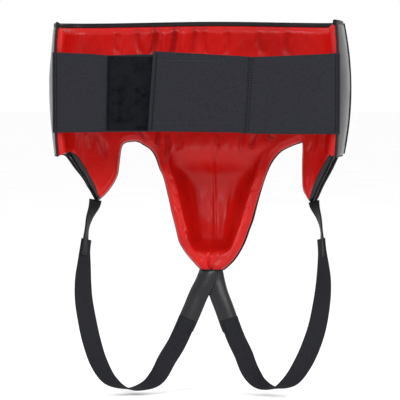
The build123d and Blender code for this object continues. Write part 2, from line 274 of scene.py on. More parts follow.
def floor_paint(name):
    """Almost white paint, for a floor that hardly shows."""
    made = Nodes(name, (0.97, 0.97, 0.97), 0.8)
    made.colour(made.noise(3.0), [(0.3, (0.965, 0.965, 0.965)), (0.7, (0.985, 0.985, 0.985))])
    return made.material


# The red leather carries painted shade in its folds.
RED = leather("red_leather", (0.30, 0.0016, 0.0007), (0.40, 0.0030, 0.0016),
              (0.47, 0.0050, 0.0032), 0.34, 0.20, painted_fold_shade=True)
BLACK = leather("black_leather", (0.004, 0.004, 0.005), (0.007, 0.007, 0.009),
                (0.012, 0.012, 0.015), 0.24, 0.26, 1.4)
STRAP = leather("strap_leather", (0.004, 0.004, 0.005), (0.007, 0.007, 0.009),
                (0.012, 0.012, 0.015), 0.46, 0.07, 1.2)
BINDING = leather("black_binding", (0.003, 0.003, 0.004), (0.006, 0.006, 0.007),
                  (0.010, 0.010, 0.012), 0.42, 0.14)
ELASTIC = woven("belt_elastic", (0.005, 0.0052, 0.007), (0.0175, 0.018, 0.023), 420.0, 620.0)
WEBBING = woven("leg_webbing", (0.005, 0.005, 0.006), (0.014, 0.0145, 0.018), 380.0, 520.0)
LOOPS = pile("loop_fabric", (0.0008, 0.0008, 0.0012), (0.0065, 0.007, 0.009))
HOOKS = pile("hook_tape", (0.003, 0.003, 0.004), (0.012, 0.012, 0.014))
DARK_THREAD = thread("dark_thread", (0.0012, 0.0012, 0.0015))
GREY_THREAD = thread("grey_thread", (0.055, 0.055, 0.062))

# ---- mesh tools


def in_scene(name, data):
    """A new object in the scene with this mesh, camera or light."""
    thing = bpy.data.objects.new(name, data)
    bpy.context.collection.objects.link(thing)
    return thing


def new_mesh(name, points, faces, materials, body="body"):
    """One closed piece from points in millimetres. It rides on a body, or stays loose when none is
    given.
    """
    mesh = bpy.data.meshes.new(name)
    mesh.from_pydata((np.asarray(points) * MM).tolist(), [], faces)
    for material in materials:
        mesh.materials.append(material)
    mesh.validate()
    shape = bmesh.new()
    shape.from_mesh(mesh)
    bmesh.ops.recalc_face_normals(shape, faces=shape.faces)
    shape.to_mesh(mesh)
    shape.free()
    mesh.polygons.foreach_set("use_smooth", [True] * len(mesh.polygons))
    piece = in_scene(name, mesh)
    if body:
        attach(piece, body)
    return piece


def grid_faces(rows, columns, start=0, flip=False):
    """Quads of a grid of points that is stored row by row."""
    faces = []
    for row in range(rows - 1):
        for column in range(columns - 1):
            a = start + row * columns + column
            face = (a, a + 1, a + columns + 1, a + columns)
            faces.append(face[::-1] if flip else face)
    return faces


def weld(points, faces, distance=0.004):
    """Join points that lie together, and drop faces that this closes up."""
    keys = np.round(points / distance).astype(int)
    _, first, inverse = np.unique(keys, axis=0, return_index=True, return_inverse=True)
    inverse = inverse.ravel().tolist()
    kept, seen = [], set()
    for face in faces:
        corners = tuple(dict.fromkeys(inverse[point] for point in face))
        key = tuple(sorted(corners))
        if len(corners) > 2 and key not in seen:
            seen.add(key)
            kept.append(corners)
    return points[first], kept


def sweep(name, centres, across, profile, material, body="body"):
    """A strip: a flat closed profile carried along a line.

    across is the direction of the profile's first axis at each point of the line."""
    along = unit(np.gradient(centres, axis=0))
    across = square_to(np.asarray(across, float), along)
    normal = np.cross(along, across)
    points = centres[:, None] + across[:, None] * profile[:, :1] + normal[:, None] * profile[:, 1:]
    rows, columns = points.shape[:2]
    faces = []
    for row in range(rows - 1):
        for column in range(columns):
            a, b = row * columns + column, row * columns + (column + 1) % columns
            faces.append((a, b, b + columns, a + columns))
    faces.append(tuple(range(columns))[::-1])
    faces.append(tuple(range((rows - 1) * columns, rows * columns)))
    return new_mesh(name, points.reshape(-1, 3), faces, [material], body)


def flat_profile(width, thickness, edge=0.8, bow=0.0, count=9):
    """Cross-section of a strap: thin, with rounded edges and a slight crown."""
    x = np.linspace(-width / 2 + edge, width / 2 - edge, count)
    lift = bow * (1 - (2 * x / width) ** 2)
    top = join(x, thickness / 2 + lift)
    bottom = join(x, -thickness / 2 + lift)[::-1]
    corner, side = width / 2 - edge * 0.25, thickness * 0.36
    right = np.array([(corner, side), (width / 2, 0), (corner, -side)])
    return np.vstack([top, right, bottom, -right])[::-1]


def round_profile(half_width, half_thickness, count=12):
    angle = np.linspace(0, 2 * np.pi, count, endpoint=False)
    return join(half_width * np.cos(angle), half_thickness * np.sin(angle))


def stitches(name, line, normal, material, body="body", pitch=2.6, length=1.8, thick=0.34):
    """A row of single stitches that lie on a surface, each a small closed bead of thread."""
    normal = np.broadcast_to(np.asarray(normal, float), line.shape)
    steps = np.concatenate([[0], np.cumsum(np.linalg.norm(np.diff(line, axis=0), axis=1))])
    at = np.arange(pitch / 2, steps[-1], pitch)

    def along_line(points, where):
        return join(*(np.interp(where, steps, values) for values in points.T))

    place, up = along_line(line, at), unit(along_line(normal, at))
    way = square_to(along_line(line, at + 0.4) - place, up)
    # One bead: an end point, two rings of four, and the other end point.
    template = [(-0.5, 0, -0.3)]
    for end in (-0.32, 0.32):
        template += [(end, math.cos(a), math.sin(a)) for a in (0.8, 2.4, 3.9, 5.5)]
    template = np.array(template + [(0.5, 0, -0.3)])
    points = (
        place[:, None]
        + way[:, None] * template[:, :1] * length
        + np.cross(way, up)[:, None] * template[:, 1:2] * thick
        + up[:, None] * template[:, 2:] * thick
    )
    faces = []
    for base in range(0, len(at) * len(template), len(template)):
        for k in range(4):
            near, after = base + 1 + k, base + 1 + (k + 1) % 4
            faces += [(base, after, near), (near, after, after + 4, near + 4),
                      (base + 9, near + 4, after + 4)]
    return new_mesh(name, points.reshape(-1, 3), faces, [material], body)

# ---- shape of the padded body

TOP_Z, HIP_Z = 87.5, -79.5                # upper and lower edge of the hips
SHIFT = 12.0              # the belly and the pouch hang this far towards +X
FRONT_RADIUS, FRONT_Y = 450.0, 75.0       # the belly in plan
SIDE_DEPTH = 85.0         # from the belly's middle back to the widest point
HALF = {-1: 203.0, 1: 179.0}              # from the belly's middle out to the widest point
END_RADIUS, END_DEPTH = 169.0, 65.0       # hip ends, which curl in behind the widest point
BULGE_Z, BULGE = 3.0, 800.0               # height of the wall's bulge, and twice its radius
WALL = 13.8               # leather, foam and lining together
PAD_OUT = 2.0             # depth of the padded lining's back face
PAD = 12.0                # thickness of the padded lining where it is full
MID_DEPTH = 8.0           # about the middle of the wall, where a place's x is read off
LENS = 8.5                # width of the black edge strips on the wings


def wall_arcs(side):
    """The arc beside the belly: its radius, the belly's turn before it, and its own turn."""
    half = HALF[side]
    radius = (2 * FRONT_RADIUS * SIDE_DEPTH - SIDE_DEPTH**2 - half**2) / (2 * (FRONT_RADIUS - half))
    turn = math.atan2(FRONT_RADIUS - SIDE_DEPTH, half - radius)
    return radius, math.pi / 2 - turn, turn


def plan(side, s):
    """Point of the outer face in plan, and its outward normal, s millimetres along the wall."""
    radius, first_turn, second_turn = wall_arcs(side)
    front_length, side_length = FRONT_RADIUS * first_turn, radius * second_turn
    a = np.clip(s, 0, front_length) / FRONT_RADIUS
    b = np.clip(s - front_length, 0, side_length) / radius
    c = np.clip(s - front_length - side_length, 0, None) / END_RADIUS
    angle = a + b + c                     # 0 at the front, a quarter turn at the widest point
    spot = join(FRONT_RADIUS * np.sin(a), FRONT_Y - FRONT_RADIUS * (1 - np.cos(a)))
    turned = join(np.sin(a + b), np.cos(a + b)) - join(np.sin(first_turn), np.cos(first_turn))
    spot = np.where((s > front_length)[..., None], spot + radius * turned, spot)
    turned = join(np.sin(angle), np.cos(angle)) - join(1.0, 0.0)
    spot = np.where((s > front_length + side_length)[..., None], spot + END_RADIUS * turned, spot)
    return spot * (side, 1) + (SHIFT, 0), join(side * np.sin(angle), np.cos(angle))


def end_length(side):
    """Length of the wall from the belly's middle to one end."""
    radius, first_turn, second_turn = wall_arcs(side)
    end = END_RADIUS * math.asin(END_DEPTH / END_RADIUS)
    return FRONT_RADIUS * first_turn + radius * second_turn + end


END_S = {-1: end_length(-1), 1: end_length(1)}


def wall_point(q, z, depth):
    """Point of the wall at a signed distance q along it, a height and a depth into it."""
    q, z, depth = np.broadcast_arrays(q, z, depth)
    s = np.abs(q)
    out = np.zeros(q.shape + (3,))
    for side in (-1, 1):
        spot, normal = plan(side, s)
        flatter = 0.55 * smooth((s - END_S[side] + 66) / 66)      # over the hip's last 66 mm
        inward = depth + (z - BULGE_Z) ** 2 / BULGE * (1 - flatter)
        point = np.concatenate([spot - normal * inward[..., None], z[..., None]], axis=-1)
        mine = q * side >= 0
        out[mine] = point[mine]
    return out


def wall_normal(q, z):
    """Direction from the wall's inner face towards the wearer."""
    step = 0.5
    along = wall_point(q + step, z, WALL) - wall_point(q - step, z, WALL)
    up = wall_point(q, z + step, WALL) - wall_point(q, z - step, WALL)
    normal = unit(np.cross(along, up))
    inward = wall_point(q, z, WALL) - wall_point(q, z, 0)
    return normal * np.sign(np.sum(normal * inward, axis=-1, keepdims=True))


def top_lift(q):
    """The top edge stands a little higher in the middle of the belly than at the hips."""
    ends = smooth((np.abs(q) - 180.0) / 120.0)
    return 3.0 * (1 - smooth(np.abs(q) / 190.0)) + np.where(q > 0, 1.6, -1.6) * ends


# ---- creases of the lining

# Soft folds of the lining: start and end in back view (x, z), half width and depth. A negative
# depth stands out of the face.
CREASES = [
    (-86, 84, -84, 50, 4.0, 1.0), (-74, 85, -75, 48, 3.0, -0.8), (-63, 86, -66, 47, 4.5, 1.5),
    (-49, 86, -52, 47, 4.0, -1.1), (-38, 86, -41, 46, 4.5, 1.7), (-24, 87, -27, 46, 4.0, -1.0),
    (-12, 87, -14, 46, 4.0, 1.2), (3, 88, 1, 47, 5.0, 0.8), (30, 88, 31, 48, 6.0, 0.5),
    (72, 86, 76, 48, 6.0, 0.6), (108, 84, 112, 47, 6.0, 0.8), (-112, 82, -113, 50, 5.0, 0.7),
    (-84, -48, -76, -66, 4.0, 1.5), (-62, -48, -58, -70, 3.5, 1.6), (-46, -49, -47, -92, 4.0, 1.3),
    (-32, -48, -30, -76, 5.0, 0.9), (70, -49, 64, -72, 4.0, 1.4), (84, -48, 92, -62, 4.0, 1.2),
    (52, -48, 50, -88, 5.0, 0.9), (20, -50, 17, -84, 5.0, 0.7), (-140, -52, -128, -84, 6.0, 1.0),
    (-152, -50, -143, -72, 5.0, 0.9), (150, -50, 140, -80, 6.0, 0.9),
    (166, -50, 160, -70, 5.0, 0.8),
]


# Folds of the pouch's red face, in the same way but with x from the body's middle.
POUCH_FOLDS = [
    (-34, -178, -26, -187, 1.8, 1.6), (-38, -172, -29, -180, 1.6, 1.3),
    (-31, -186, -23, -194, 2.0, 1.4), (-17, -206, -12, -216, 2.0, 1.4),
    (12, -206, 9, -217, 2.0, 1.4), (33, -176, 25, -186, 1.8, 1.1),
    (-58, -110, -46, -116, 2.4, 1.2), (-54, -128, -43, -133, 2.2, 1.1),
    (-50, -146, -41, -151, 2.2, 1.2), (62, -104, 49, -110, 2.4, 1.2),
    (58, -124, 46, -129, 2.2, 1.1), (52, -145, 42, -149, 2.0, 1.1),
    (-30, -120, -22, -160, 3.5, -0.9), (26, -110, 20, -158, 3.5, -0.8),
    (-8, -96, -5, -130, 4.0, 0.7),
]


def fold_depth(x, z, folds, narrow=1.0, bend=0.0, fade=(3.0, 0.4)):
    """How far all of the folds dip at a place."""
    total = np.zeros(np.broadcast(x, z).shape)
    for x0, z0, x1, z1, width, depth in folds:
        dx, dz = x1 - x0, z1 - z0
        length = math.hypot(dx, dz)
        t = ((x - x0) * dx + (z - z0) * dz) / length**2
        across = ((x - x0) * dz - (z - z0) * dx) / length + bend * np.sin(t * 5.0 + x0)
        ends = smooth(np.minimum(t, 1 - t) * fade[0] + fade[1])
        total += depth * bell(across / (narrow * width)) * ends
    return total


def crease_depth(x, z):
    """How far the lining dips at a place in the back view."""
    return 2.4 * fold_depth(x, z, CREASES, 0.72, 1.2, (3.5, 0.45))


def pad_depth(distance, x, z):
    """Depth of the red face: full in the middle of the pad and rolled down to its edge."""
    dips = (crease_depth(x, z) + 0.35 * ripple(x, z * 0.4, 24.0, 5)
            + 0.16 * ripple(x * 1.6, z * 0.5, 9.0, 8))
    return PAD_OUT + PAD * rounded(distance / 10.0) - dips * smooth(distance / 12.0)


# ---- outline and grids of the body

# Lower edge of the body, as (distance along the wall, height): hip end to wing tip, wing tip to
# the top of the leg opening, then the same on the right.
LEFT_WING = [(-305.7, HIP_Z), (-270, HIP_Z), (-235, HIP_Z), (-212, -81), (-203, -87), (-193, -98),
             (-180, -110.6), (-170, -124), (-164.6, -134), (-161, -141.5)]
LEFT_OPENING = [(-161, -141.5), (-148.4, -132), (-138, -121), (-130, -108), (-126.9, -94),
                (-124.2, -78), (-121.8, -70), (-118, -66.2), (-112, -64.5), (-103, -63.9)]
RIGHT_OPENING = [(120, -63.9), (121.4, -66.5), (122.2, -74), (122.8, -92), (124.9, -113.5),
                 (127.5, -126), (132.5, -133), (140, -138.5), (149.6, -143)]
RIGHT_WING = [(149.6, -143), (157.5, -137), (166, -119), (179.5, -99), (189, -84), (197, -80),
              (215, HIP_Z), (250, HIP_Z), (286.5, HIP_Z)]
JOIN_Z = -63.9            # where the pouch's own grid starts, across the belly
JOIN = {-1: 103.0, 1: 120.0}              # how far that line reaches to each side
POUCH_END_Z = -229.0


def spaced(points, step=2.0):
    """Points about every step along a smooth line through the given ones."""
    length = sum(math.dist(a, b) for a, b in zip(points, points[1:]))
    return route(points, int(length / step) + 2)


JOIN_LEFT = join(np.linspace(-JOIN[-1], 0, 56), JOIN_Z)
JOIN_RIGHT = join(np.linspace(0, JOIN[1], 64), JOIN_Z)
LOWER = np.vstack([spaced(LEFT_WING)[:-1], spaced(LEFT_OPENING)[:-1], JOIN_LEFT[:-1],
                   JOIN_RIGHT[:-1], spaced(RIGHT_OPENING)[:-1], spaced(RIGHT_WING)])
LOWER[0, 0], LOWER[-1, 0] = -END_S[-1], END_S[1]
JOIN_FIRST = int(np.argmin(np.abs(LOWER[:, 0] + JOIN[-1]) + np.abs(LOWER[:, 1] - JOIN_Z)))
JOIN_LAST = JOIN_FIRST + len(JOIN_LEFT) + len(JOIN_RIGHT) - 2

# Half width of the pouch to each side, its rear edge, its outer front and its inner face.
POUCH_HALF = {
    -1: curve([(-63.9, 103), (-65.3, 98), (-68.6, 92.5), (-74, 83.5), (-83, 76), (-101, 67),
               (-108, 63), (-137, 55), (-156, 50.5), (-176, 45), (-193, 40.5), (-205, 33.5),
               (-217, 23.5), (-225, 16), (-229, 12)]),
    1: curve([(-63.9, 120), (-65.5, 118), (-67, 113), (-69.6, 106), (-76.8, 91.5), (-93.4, 76.5),
              (-107.5, 69.5), (-125, 63.5), (-146, 57), (-168, 51), (-176, 48), (-193, 42),
              (-205, 36), (-217, 28), (-225, 20), (-229, 15)]),
}
REAR_EDGE = curve([(-63.9, 57), (-93, 50), (-125, 44), (-160, 38), (-190, 32), (-206, 29),
                   (-226, 26), (-229, 26)])
OUTER_FRONT = curve([(-63.9, 69.6), (-93, 84), (-125, 92), (-160, 88), (-190, 74), (-206, 62),
                     (-218, 50), (-226, 38), (-229, 29)])
INNER_FACE = curve([(-63.9, 56), (-93, 66), (-125, 74), (-160, 70), (-188, 58), (-197, 47),
                    (-202, 34), (-206, 22), (-212, 18), (-222, 19), (-229, 25)])
PANEL_HALF = curve([(-63.9, 34), (-105, 27.5), (-168, 16.6), (-200, 13), (-229, 9)])
CUP_ROWS = np.concatenate([np.linspace(POUCH_END_Z, -69.5, 92), np.linspace(-69.5, JOIN_Z, 14)[1:]])


def edge_distance(q, z):
    """Distance from places on the wall to the edge of the body."""
    sides = [LOWER[:JOIN_FIRST + 1], LOWER[JOIN_LAST:]]
    depth = np.linspace(JOIN_Z, -130, 50)
    for side in (-1, 1):
        sides.append(join(side * POUCH_HALF[side](depth), depth))
        sides.append(join(side * END_S[side], np.linspace(HIP_Z, TOP_Z, 80)))
    along = np.linspace(-END_S[-1], END_S[1], 300)
    sides.append(join(along, TOP_Z - 4.5 + top_lift(along)))
    nearest = np.full(q.shape, 1e9)
    for line in sides:
        start, way = line[:-1], np.diff(line, axis=0)
        for (a, b), (u, v) in zip(start, way):
            t = np.clip(((q - a) * u + (z - b) * v) / (u * u + v * v + 1e-12), 0, 1)
            np.minimum(nearest, np.hypot(q - a - t * u, z - b - t * v), out=nearest)
    return nearest


def wall_grid(rows, top_margin):
    """Places over the wall: columns follow its lower edge, rows are closer near both edges."""
    t = np.linspace(0, 1, rows)[:, None]
    t = t - 0.115 * np.sin(2 * np.pi * t)
    q, low = LOWER[None, :, 0], LOWER[None, :, 1]
    high = TOP_Z - top_margin + top_lift(q)
    return np.broadcast_to(q, (rows, q.shape[1])), low + (high - low) * t


def cup_share(z):
    """0 where the pouch still follows the belly, 1 where it has its own shape."""
    return smooth((JOIN_Z - z) / 46.0)


def pouch_flat(z, depth_at):
    """One level of the pouch as if it were still belly, from its left edge to its right edge."""
    left = JOIN_LEFT[:-1, 0] / JOIN[-1] * float(POUCH_HALF[-1](z))
    right = JOIN_RIGHT[:, 0] / JOIN[1] * float(POUCH_HALF[1](z))
    q = np.concatenate([left, right])
    x = wall_point(q, z, MID_DEPTH)[:, 0]
    return wall_point(q, z, depth_at(edge_distance(q, z), x, z))


def pouch_level(z, shaped, depth_at):
    """One level of a pouch face: the belly's own shape, changing into the shaped one below."""
    share = cup_share(z)
    level = pouch_flat(z, depth_at) if share < 1 else 0.0
    if share == 0:
        return level
    halves = []
    for side, line in ((-1, JOIN_LEFT), (1, JOIN_RIGHT)):
        across, back = shaped(z, side, len(line))
        halves.append(join(SHIFT + side * across, back, z))
    cup = np.vstack([halves[0][:0:-1], halves[1]])
    return level * (1 - share) + cup * share


def outer_shape(inset, grow):
    """Outer face of the pouch, a rounded bowl, as a function like inner_shape."""
    def shape(z, side, count):
        turn = np.linspace(0, np.pi / 2, count)
        wider = grow * (1 + 2.0 * (side > 0) * smooth((-110 - z) / 50.0))
        half = POUCH_HALF[side](z) + wider
        rear, front = REAR_EDGE(z) - grow, OUTER_FRONT(z) - inset
        return half * np.sin(turn), rear + (front - rear) * np.cos(turn) ** 0.9
    return shape


def inner_shape(z, side, count):
    """Red face of the pouch: a padded roll along the rim, then the cup and its flat panel.

    Gives distances from the middle and places in depth, from the middle to one edge."""
    half = float(POUCH_HALF[side](z))
    rear, deep = float(REAR_EDGE(z)), float(INNER_FACE(z))
    roll = min(8.5, 0.40 * half)
    panel = min(float(PANEL_HALF(z)), 0.55 * (half - 2 * roll))
    crest = rear - 1.2 * roll
    hollow = min(max((deep - crest) / 20.0, 0.0), 1.0)
    profile = [
        (half, rear), (half + 0.4, rear - 0.45 * (rear - crest)),
        (half - 0.42 * roll, crest + 1.2), (half - roll, crest),
        (half - 1.55 * roll, crest + 2.2 * hollow),
        (half - 2.0 * roll, crest + (rear + 1.0 - crest) * hollow),
        (0.55 * (half - 2 * roll) + 0.45 * panel,
         0.35 * (crest + (rear - crest) * hollow) + 0.65 * deep),
        (panel, deep - 1.5 * (deep > rear)), (0.5 * panel, deep), (0.0, deep + 0.3),
    ]
    return route(profile, count)[::-1].T


def closed_skin(parts):
    """One closed mesh from pairs of matching grids (front, back) and the edges to close."""
    points, faces, count = [], [], 0
    for front, back, edges in parts:
        rows, columns = front.shape[:2]
        size = rows * columns
        points += [front.reshape(-1, 3), back.reshape(-1, 3)]
        faces += grid_faces(rows, columns, count) + grid_faces(rows, columns, count + size, True)
        index = np.arange(size).reshape(rows, columns) + count
        for edge in edges(index):
            for a, b in zip(edge.tolist(), edge.tolist()[1:]):
                faces.append((b, a, a + size, b + size))
        count += 2 * size
    return weld(np.vstack(points), faces)


def sheet_skin(front, back):
    """A closed sheet from two grids that meet along their edges."""
    return closed_skin([(front, back, lambda index: [])])


def body_skin(front_depth, back_depth, top_margin, rows, front_shape, back_shape, finish=None):
    """A closed layer of the body, wall and pouch in one piece, between two depths."""
    q, z = wall_grid(rows, top_margin)
    distance = edge_distance(q, z)
    x = wall_point(q, z, MID_DEPTH)[..., 0]
    front = wall_point(q, z, front_depth(distance, x, z))
    back = wall_point(q, z, back_depth(distance, x, z))
    cup_front = np.stack([pouch_level(level, front_shape, front_depth) for level in CUP_ROWS])
    cup_back = np.stack([pouch_level(level, back_shape, back_depth) for level in CUP_ROWS])
    cup_front = finish(cup_front) if finish else cup_front

    def wall_edges(index):
        return [index[0, :JOIN_FIRST + 1], index[0, JOIN_LAST:], index[-1, ::-1],
                index[::-1, 0], index[:, -1]]

    def cup_edges(index):
        return [index[0], index[::-1, 0], index[:, -1]]

    return closed_skin([(front, back, wall_edges), (cup_front, cup_back, cup_edges)])

# ---- padded lining and outer shell


def lining_back(distance, x, z):
    return PAD_OUT


def shell_face(distance, x, z):
    """The outer leather turns in along its edges, and dips at the seams beside the belly."""
    seams = bell((np.abs(x - SHIFT) - 118.0) / 1.6)
    return 1.5 - 1.5 * rounded(distance / 2.5) + 0.9 * seams + 0.25 * ripple(x, z, 30.0, 3)


def shell_back(distance, x, z):
    return 1.7


def pouch_reach(x, z):
    """Distance from the pouch's middle line to its edge, on the side where x lies."""
    return np.where(x < 0, POUCH_HALF[-1](z), POUCH_HALF[1](z))


def pouch_details(points):
    """Seam groove down the middle of the pouch, and small folds by its bottom roll."""
    x, z = points[..., 0] - SHIFT, points[..., 2]
    fade = (smooth((pouch_reach(x, z) - np.abs(x)) / 7.0) * smooth((-70 - z) / 14)
            * smooth((z - POUCH_END_Z) / 5))
    seam = x - (1.0 + 2.0 * smooth((-90 - z) / 120) - 5.5 * smooth((-203 - z) / 8))
    puff = 0.8 * bell((np.abs(seam) - 5.0) / 4.0)
    wave = 0.5 * ripple(x, z * 0.6, 22.0, 12)
    moved = points.copy()
    moved[..., 1] += (1.6 * bell(seam / 1.5) - puff + fold_depth(x, z, POUCH_FOLDS) + wave) * fade
    return moved


lining_points, lining_faces = body_skin(
    pad_depth, lining_back, 4.5, 84, inner_shape, outer_shape(PAD_OUT, 0.0), pouch_details)
lining = new_mesh("padded_lining", lining_points, lining_faces, [RED, BLACK])


def fold_shade(points):
    """How deep each point lies in a fold, as painted shade for the leather's colour: in the wall's
    creases and in the valley beside the pouch's roll.
    """
    x, z = points[:, 0] - SHIFT, points[:, 2]
    wall = 0.065 * crease_depth(points[:, 0], z) * smooth((z + 100) / 20)
    # Painted shade in the valley where the pouch's roll meets its cup wall.
    roll_valley = bell((pouch_reach(x, z) - np.abs(x) - 19.0) / 5.0)
    return wall + 0.13 * roll_valley * smooth((-80 - z) / 30) * smooth((z + 206) / 14)


# The fold attribute paints shade into the red leather's colour.
folds = lining.data.attributes.new("fold", "FLOAT", "POINT")
folds.data.foreach_set("value", fold_shade(lining_points).astype(np.float32))

# The padding's edge is black leather along the slanted wing edges, under the edge strips.
centres = np.empty(3 * len(lining.data.polygons), np.float32)
lining.data.polygons.foreach_get("center", centres)
centres = centres.reshape(-1, 3) / MM
black_edge = np.zeros(len(centres), bool)
for wing in (LEFT_WING[3:], RIGHT_WING[:-1]):
    line = wall_point(*spaced(wing, 1.5).T, 5.0)
    black_edge |= np.linalg.norm(centres[:, None] - line[None], axis=2).min(axis=1) < 7.5
lining.data.polygons.foreach_set("material_index", black_edge.astype(np.int32))

shell_skin = body_skin(
    shell_face, shell_back, 1.0, 60, outer_shape(0.0, 1.0), outer_shape(1.7, 0.4))
shell = new_mesh("outer_shell", *shell_skin, [BLACK])

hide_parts("belly_lining", "left_hip_lining", "right_hip_lining", "left_pouch_lining",
            "right_pouch_lining", "belly_foam", "left_hip_foam", "right_hip_foam", "pouch_foam",
            "left_rim_roll", "right_rim_roll")
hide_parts("belly_outer_panel", "left_hip_outer_panel", "right_hip_outer_panel",
            "pouch_outer_panel", "groin_cup")

# ---- bindings and wing edges


PIPING = round_profile(1.5, 1.1)


def along_wall(name, q, z, depth, profile, stands_out=0.0):
    """A binding along places on the wall, flat on its face."""
    line = wall_point(q, z, depth)
    line[:, 0] += stands_out
    return sweep(name, line, wall_normal(q, z), profile, BINDING)


top_q = np.linspace(-END_S[-1] - 1.0, END_S[1] + 1.0, 260)
top_line = wall_point(top_q, TOP_Z - 2.6 + top_lift(top_q), 2.3)
top_binding = sweep("top_edge_binding", top_line, (0, 0, 1), flat_profile(7.0, 5.0, 1.9), BINDING)
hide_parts("top_binding")

for side, name in ((-1, "left"), (1, "right")):
    heights = np.linspace(-80.5, TOP_Z - 1.5 + float(top_lift(END_S[side])), 70)
    puff = 0.25 * np.sin(heights / 3.1) * smooth((heights - 45) / 15)
    edge = along_wall(f"{name}_end_piping", side * (END_S[side] + 0.3), heights, 0.9,
                      round_profile(1.3, 1.2), side * puff)
    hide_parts(f"{name}_end_binding")

for name, q in (("left", -239.0), ("right", 220.0)):
    along_wall(f"{name}_side_piping", q, np.linspace(-78.0, TOP_Z - 1.0, 60), -0.3, PIPING)

for name, places in (("left", LOWER[:JOIN_FIRST + 1]), ("right", LOWER[JOIN_LAST:])):
    edge = along_wall(f"{name}_wing_binding", *places.T, 1.2, PIPING)
    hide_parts(f"{name}_leg_binding")

rim_z = np.concatenate([np.linspace(JOIN_Z, -69, 24)[:-1], np.linspace(-69, POUCH_END_Z, 80)])
rim = []
for end in (0, -1):
    rim.append(np.stack([pouch_level(z, outer_shape(0.8, 0.6), lining_back)[end] for z in rim_z]))
foot = rim[0][-1] + (rim[1][-1] - rim[0][-1]) * np.linspace(0, 1, 10)[1:-1, None]
sweep("pouch_edge_binding", np.vstack([rim[0], foot, rim[1][::-1]]), (0, 1, 0),
      round_profile(1.3, 1.1), BINDING)


def wing_strip(name, wing, widest):
    """The black leather edge that shows beside the red on a slanted wing edge."""
    line = spaced(wing, 1.5)
    way = unit(np.gradient(line, axis=0))
    share = np.linspace(0, 1, len(line))[:, None]
    width = widest * np.sin(np.pi * share ** 0.8) ** 0.6 + 0.6
    across = np.linspace(0, 1, 12)
    reach = width * across - 1.5 * (1 - across)
    q, z = line[:, :1] - way[:, 1:] * reach, line[:, 1:] + way[:, :1] * reach
    depth = pad_depth(edge_distance(q, z), wall_point(q, z, MID_DEPTH)[..., 0], z) + 0.4
    edge = smooth(np.minimum(across, 1 - across) * 6) * smooth(np.minimum(share, 1 - share) * 30)
    front, back = wall_point(q, z, depth + 0.7 * edge), wall_point(q, z, depth - 1.4 * edge)
    new_mesh(name, *sheet_skin(front, back), [BLACK])


wing_strip("left_wing_strip", LEFT_WING[3:9] + [(-161.6, -140)], LENS)
wing_strip("right_wing_strip", [(150.2, -142)] + RIGHT_WING[1:6], 0.9 * LENS)

# ---- waist belt


def near_edges(count, push=0.09):
    """Numbers from 0 to 1 that lie closer together near both ends."""
    t = np.linspace(0, 1, count)
    return t - push * np.sin(2 * np.pi * t)


def panel(name, place, size, thickness, material, columns, rows, relief, body=None, push=0.09):
    """A thin closed sheet. place(u, v) gives its middle surface, u to the right and v upwards."""
    u, v = np.meshgrid(near_edges(columns, push), near_edges(rows))
    middle = place(u, v)
    normal = unit(np.cross(np.gradient(middle, axis=1), np.gradient(middle, axis=0)))
    edge = np.minimum(np.minimum(u, 1 - u) * size[0], np.minimum(v, 1 - v) * size[1])
    half = thickness / 2 * rounded(edge / 0.9)
    rise = relief(u, v) * smooth(edge / 0.8)
    front = middle + normal * (half + rise)[..., None]
    back = middle - normal * half[..., None]
    return new_mesh(name, *sheet_skin(front, back), [material], body)


def sway(x, z):
    """The belt's slow in-and-out waves, the same for all of its layers."""
    return 0.45 * np.sin(x / 34.0 + 0.7) * np.cos(z / 60.0) + 0.2 * ripple(x, z, 55.0, 21)


def bilinear(corners, y):
    """Place on a four-cornered upright sheet: lower left, lower right, upper right, upper left."""
    (x0, z0), (x1, z1), (x2, z2), (x3, z3) = corners

    def place(u, v):
        x = (x0 * (1 - u) + x1 * u) * (1 - v) + (x3 * (1 - u) + x2 * u) * v
        z = (z0 * (1 - u) + z1 * u) * (1 - v) + (z3 * (1 - u) + z2 * u) * v
        return join(x, y + sway(x, z), z)

    return place


def end_share(x):
    """0 along the belt's free length, 1 at its sewn ends."""
    return smooth((np.abs(x) - 146.0) / 34.0)


def belt_half(start, end, y, low, high):
    """Place on a belt half from x = start(v) to end. It curves in to meet the body's end."""
    def place(u, v):
        x = start(v) * (1 - u) + end * u
        z = low(x) * (1 - v) + high(x) * v
        inward = end_share(x)
        lapped = 1.9 * smooth((seam_x(v) + 1.0 - x) / 2.2) if y == FLAP_Y else 0.0
        bent = (y + lapped) * (1 - inward) + END_Y * inward
        return join(x, bent + sway(x, z) * (1 - inward), z)
    return place


def elastic_relief(u, v):
    """Woven edges a little thicker than the middle."""
    z = 100.0 * np.minimum(v, 1 - v)
    return 0.18 * bell(z - 1.6) - 0.12 * bell((z - 4.0) / 0.8)


def flap_relief(u, v):
    """The flap dips along its two stitched lines and beside its folded left edge."""
    z = -50.0 + 99.0 * v
    line = bell((z - 39.0) / 1.1) + bell((z + 38.5) / 1.1)
    return -0.4 * line - 0.5 * bell(123.0 * u - 5.0)


# Lower and upper edges of the belt's halves in back view, and the depths of its layers.
LEFT_LOW = curve([(-179, -50.5), (-140, -50), (-100, -49.5), (54, -48.3)])
LEFT_HIGH = curve([(-179, 49.8), (-160, 49), (-130, 47.5), (-106, 46), (-60, 47.2), (0, 45.8),
                   (54, 43.2)])
RIGHT_LOW = curve([(60, -51), (110, -51.8), (178, -51.8)])
RIGHT_HIGH = curve([(60, 43.3), (110, 45.0), (178, 48.2)])
LEFT_Y, LOOP_Y, HOOK_Y, FLAP_Y = -78.2, -79.8, -81.55, -83.3
END_Y = -78.4             # middle of the elastic where it is sewn to the ends of the body
SEAM = ((61.0, -50.0), (66.2, 44.2))      # right edge of the flap, from bottom to top


def seam_x(v, gap=0.0):
    """Where the flap's right edge lies at a height, plus a gap."""
    return SEAM[0][0] + (SEAM[1][0] - SEAM[0][0]) * v + gap


